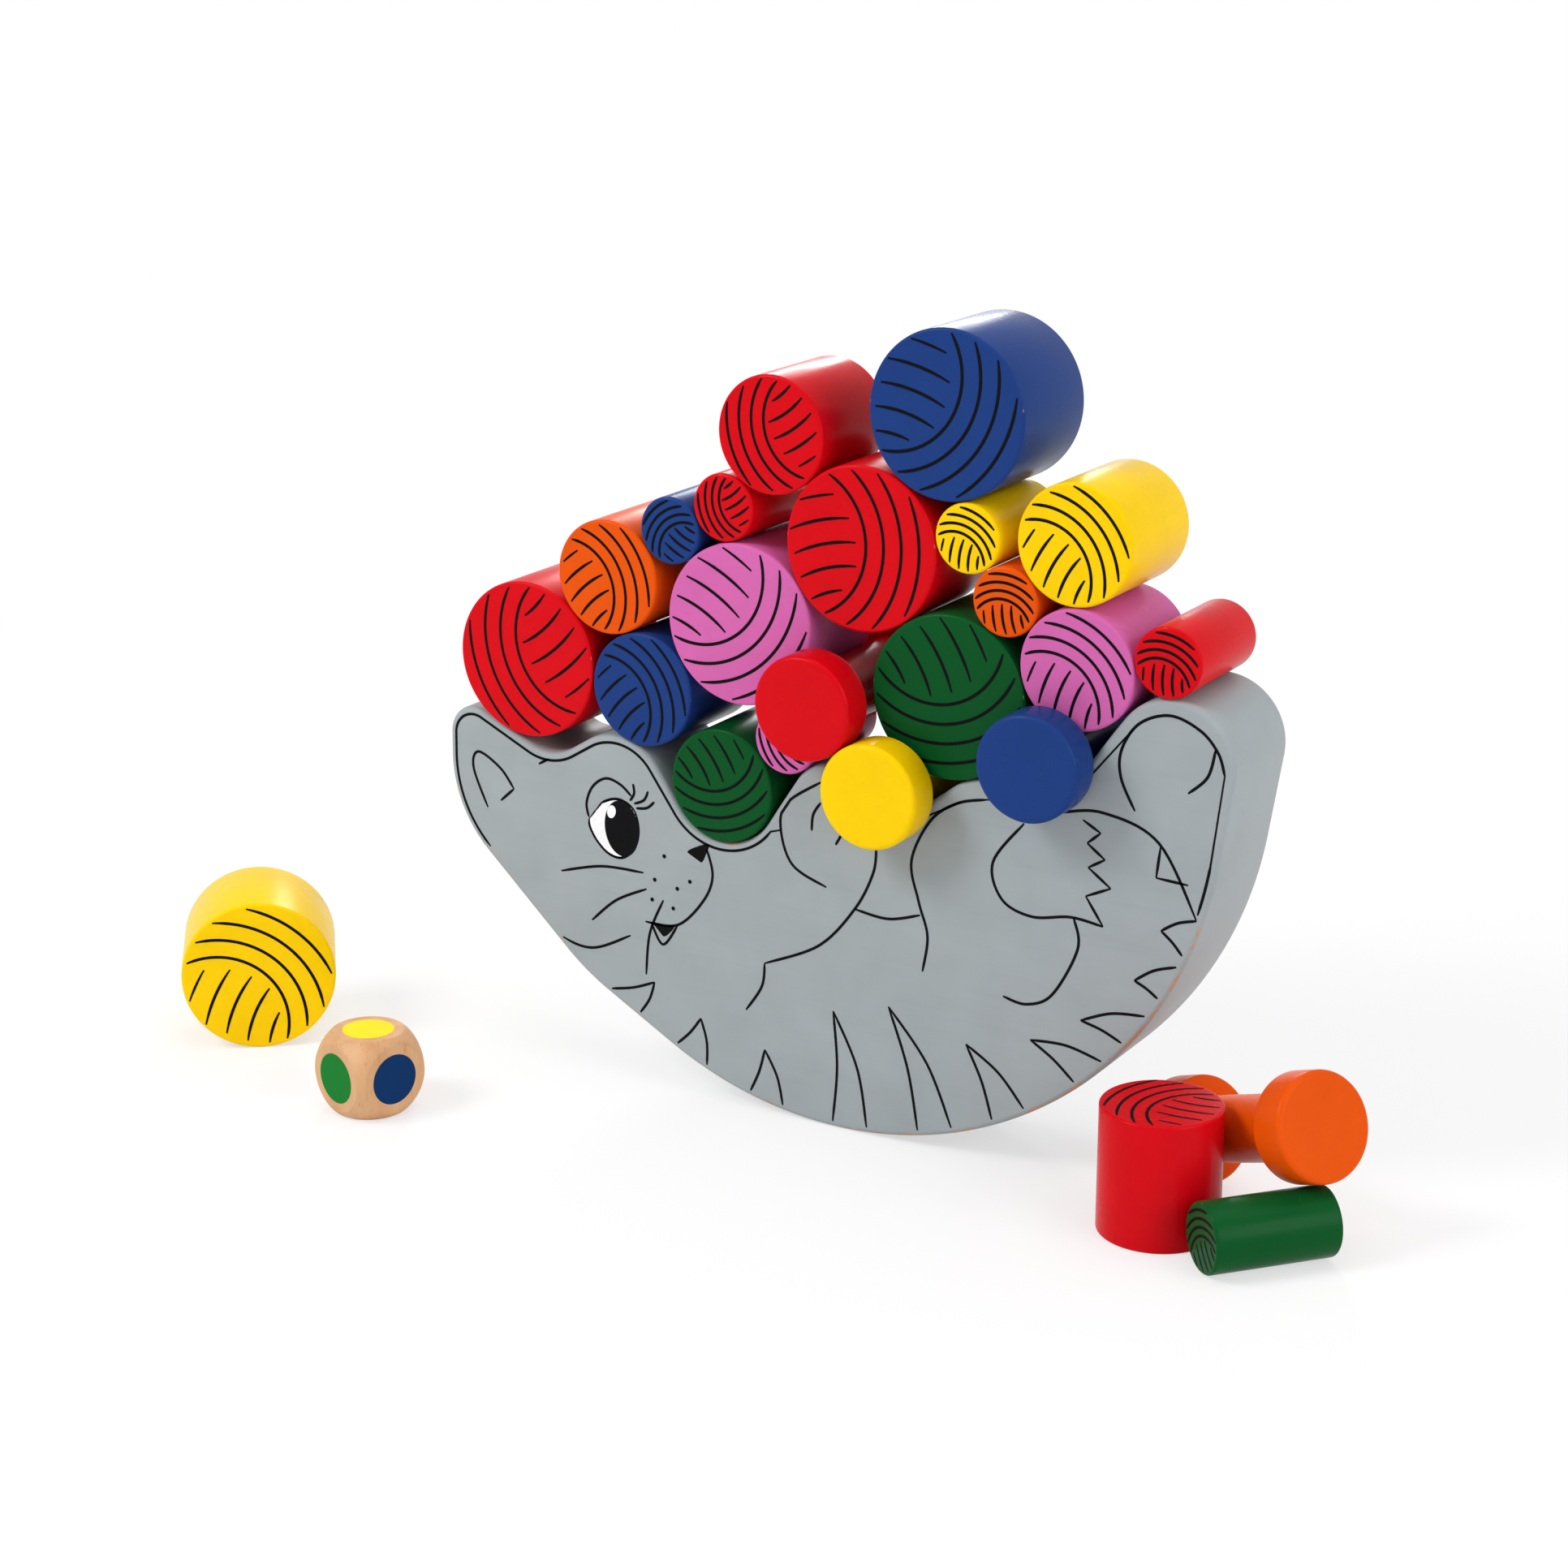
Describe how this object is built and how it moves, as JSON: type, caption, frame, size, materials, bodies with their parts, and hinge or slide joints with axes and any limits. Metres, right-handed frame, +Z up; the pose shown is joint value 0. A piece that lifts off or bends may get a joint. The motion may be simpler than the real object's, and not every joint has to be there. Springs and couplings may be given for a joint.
{
  "type": "balancing game",
  "caption": "Wooden balancing game: a cat-shaped rocker board lying on its back, with coloured rollers and dumbbells piled in its scalloped top, loose pieces and a colour die.",
  "frame": {"origin": "middle of the set's footprint, on the table", "axes": "+Z up, +X towards the cat's feet, the rocker's printed face looks along -Y"},
  "size_m": [0.3938, 0.1226, 0.2416],
  "materials": {
    "rocker_grey": "satin grey lacquer with a printed black line drawing",
    "red_paint": "satin lacquer over beech, end faces printed with fine black arcs",
    "blue_paint": "satin lacquer over beech, end faces printed with fine black arcs",
    "green_paint": "satin lacquer over beech, end faces printed with fine black arcs",
    "yellow_paint": "satin lacquer over beech, end faces printed with fine black arcs",
    "orange_paint": "satin lacquer over beech, end faces printed with fine black arcs",
    "pink_paint": "satin lacquer over beech, end faces printed with fine black arcs",
    "bare_beech": "bare beech with a painted colour spot on each face"
  },
  "bodies": {
    "standing_roller": {"red_medium_roller_standing": "red_paint"},
    "rocker": {"cat_rocker": "rocker_grey"},
    "blue_dumbbell_body": {"blue_dumbbell": "blue_paint"},
    "blue_large_roller_body": {"blue_large_roller": "blue_paint"},
    "blue_medium_roller_body": {"blue_medium_roller": "blue_paint"},
    "blue_small_roller_body": {"blue_small_roller": "blue_paint"},
    "green_large_roller_body": {"green_large_roller": "green_paint"},
    "green_medium_roller_body": {"green_medium_roller": "green_paint"},
    "orange_medium_roller_body": {"orange_medium_roller": "orange_paint"},
    "orange_small_roller_body": {"orange_small_roller": "orange_paint"},
    "pink_large_roller_body": {"pink_large_roller": "pink_paint"},
    "pink_medium_roller_body": {"pink_medium_roller": "pink_paint"},
    "pink_small_roller_body": {"pink_small_roller": "pink_paint"},
    "red_dumbbell_body": {"red_dumbbell": "red_paint"},
    "red_large_roller_left_body": {"red_large_roller_left": "red_paint"},
    "red_large_roller_middle_body": {"red_large_roller_middle": "red_paint"},
    "red_medium_roller_top_body": {"red_medium_roller_top": "red_paint"},
    "red_small_roller_left_body": {"red_small_roller_left": "red_paint"},
    "red_small_roller_right_body": {"red_small_roller_right": "red_paint"},
    "yellow_dumbbell_body": {"yellow_dumbbell": "yellow_paint"},
    "yellow_medium_roller_body": {"yellow_medium_roller": "yellow_paint"},
    "yellow_small_roller_body": {"yellow_small_roller": "yellow_paint"},
    "yellow_large_roller_body": {"yellow_large_roller": "yellow_paint"},
    "colour_die_body": {"colour_die": "bare_beech"},
    "green_small_roller_body": {"green_small_roller": "green_paint"},
    "orange_dumbbell_body": {"orange_dumbbell": "orange_paint"}
  },
  "joints": [
    {"name": "rock", "type": "hinge", "parent": "standing_roller", "child": "rocker", "pos_m": [0.03252, 0.02877, 0.12], "axis": [0, 1, 0], "range_deg": [-20, 20]},
    {"name": "blue_dumbbell_roll", "type": "hinge", "parent": "rocker", "child": "blue_dumbbell_body", "pos_m": [0.09949, 0.02877, 0.12545], "axis": [0, 1, 0], "continuous": true},
    {"name": "blue_large_roller_pull", "type": "slide", "parent": "rocker", "child": "blue_large_roller_body", "axis": [0, -1, 0], "range_m": [0, 0.06]},
    {"name": "blue_medium_roller_pull", "type": "slide", "parent": "rocker", "child": "blue_medium_roller_body", "axis": [0, -1, 0], "range_m": [0, 0.06]},
    {"name": "blue_small_roller_pull", "type": "slide", "parent": "rocker", "child": "blue_small_roller_body", "axis": [0, -1, 0], "range_m": [0, 0.06]},
    {"name": "green_large_roller_roll", "type": "hinge", "parent": "rocker", "child": "green_large_roller_body", "pos_m": [0.06813, 0.02877, 0.13806], "axis": [0, 1, 0], "continuous": true},
    {"name": "green_medium_roller_pull", "type": "slide", "parent": "rocker", "child": "green_medium_roller_body", "axis": [0, -1, 0], "range_m": [0, 0.06]},
    {"name": "orange_medium_roller_pull", "type": "slide", "parent": "rocker", "child": "orange_medium_roller_body", "axis": [0, -1, 0], "range_m": [0, 0.06]},
    {"name": "orange_small_roller_pull", "type": "slide", "parent": "rocker", "child": "orange_small_roller_body", "axis": [0, -1, 0], "range_m": [0, 0.06]},
    {"name": "pink_large_roller_roll", "type": "hinge", "parent": "rocker", "child": "pink_large_roller_body", "pos_m": [-0.00015, 0.02877, 0.15008], "axis": [0, 1, 0], "continuous": true},
    {"name": "pink_medium_roller_roll", "type": "hinge", "parent": "rocker", "child": "pink_medium_roller_body", "pos_m": [0.10751, 0.02877, 0.15128], "axis": [0, 1, 0], "continuous": true},
    {"name": "pink_small_roller_roll", "type": "hinge", "parent": "rocker", "child": "pink_small_roller_body", "pos_m": [0.01524, 0.02877, 0.11748], "axis": [0, 1, 0], "continuous": true},
    {"name": "red_dumbbell_roll", "type": "hinge", "parent": "rocker", "child": "red_dumbbell_body", "pos_m": [0.02852, 0.02877, 0.13217], "axis": [0, 1, 0], "continuous": true},
    {"name": "red_large_roller_left_pull", "type": "slide", "parent": "rocker", "child": "red_large_roller_left_body", "axis": [0, -1, 0], "range_m": [0, 0.06]},
    {"name": "red_large_roller_middle_pull", "type": "slide", "parent": "rocker", "child": "red_large_roller_middle_body", "axis": [0, -1, 0], "range_m": [0, 0.06]},
    {"name": "red_medium_roller_top_pull", "type": "slide", "parent": "rocker", "child": "red_medium_roller_top_body", "axis": [0, -1, 0], "range_m": [0, 0.06]},
    {"name": "red_small_roller_left_pull", "type": "slide", "parent": "rocker", "child": "red_small_roller_left_body", "axis": [0, -1, 0], "range_m": [0, 0.06]},
    {"name": "red_small_roller_right_pull", "type": "slide", "parent": "rocker", "child": "red_small_roller_right_body", "axis": [0, -1, 0], "range_m": [0, 0.06]},
    {"name": "yellow_dumbbell_roll", "type": "hinge", "parent": "rocker", "child": "yellow_dumbbell_body", "pos_m": [0.05008, 0.02877, 0.10948], "axis": [0, 1, 0], "continuous": true},
    {"name": "yellow_medium_roller_pull", "type": "slide", "parent": "rocker", "child": "yellow_medium_roller_body", "axis": [0, -1, 0], "range_m": [0, 0.06]},
    {"name": "yellow_small_roller_pull", "type": "slide", "parent": "rocker", "child": "yellow_small_roller_body", "axis": [0, -1, 0], "range_m": [0, 0.06]},
    {"name": "yellow_large_roller_lift", "type": "slide", "parent": "standing_roller", "child": "yellow_large_roller_body", "axis": [0, 0, 1], "range_m": [0, 0.06]},
    {"name": "colour_die_lift", "type": "slide", "parent": "standing_roller", "child": "colour_die_body", "axis": [0, 0, 1], "range_m": [0, 0.06]},
    {"name": "green_small_roller_pull", "type": "slide", "parent": "standing_roller", "child": "green_small_roller_body", "axis": [0.6561, 0.7547, 0], "range_m": [0, 0.05]},
    {"name": "orange_dumbbell_lift", "type": "slide", "parent": "standing_roller", "child": "orange_dumbbell_body", "axis": [0.7071, 0, 0.7071], "range_m": [0, 0.08]}
  ]
}
